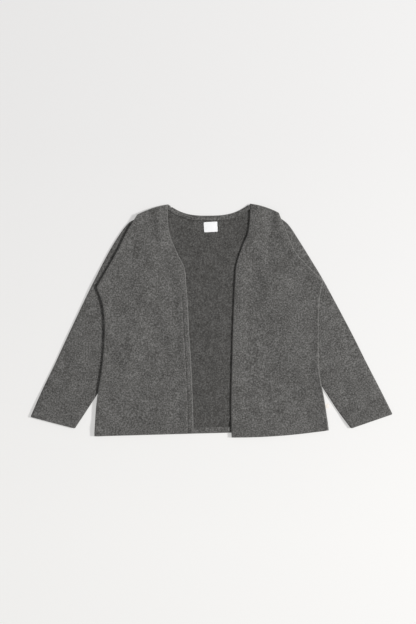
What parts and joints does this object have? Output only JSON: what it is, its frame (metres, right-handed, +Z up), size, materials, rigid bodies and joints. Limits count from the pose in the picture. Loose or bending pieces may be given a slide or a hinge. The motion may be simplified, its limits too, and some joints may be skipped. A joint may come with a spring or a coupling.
{
  "type": "knit bolero",
  "caption": "Boxy open-front knit bolero with set-in long sleeves and no fastening, laid flat on its back with the sleeves brought down beside the body.",
  "frame": {"origin": "under the middle of the garment's overall box, on the surface it lies on", "axes": "+X to the wearer's left, +Y towards the neck, +Z up from the surface"},
  "size_m": [0.904, 0.5828, 0.0147],
  "materials": {
    "boiled_wool": "matte, lightly fuzzy",
    "label_cloth": "smooth woven"
  },
  "bodies": {
    "root": {"back": "boiled_wool", "front_right": "boiled_wool", "front_left": "boiled_wool", "sleeve_right": "boiled_wool", "sleeve_left": "boiled_wool", "neck_band": "boiled_wool", "neck_label": "label_cloth", "side_tag": "label_cloth"}
  },
  "joints": []
}
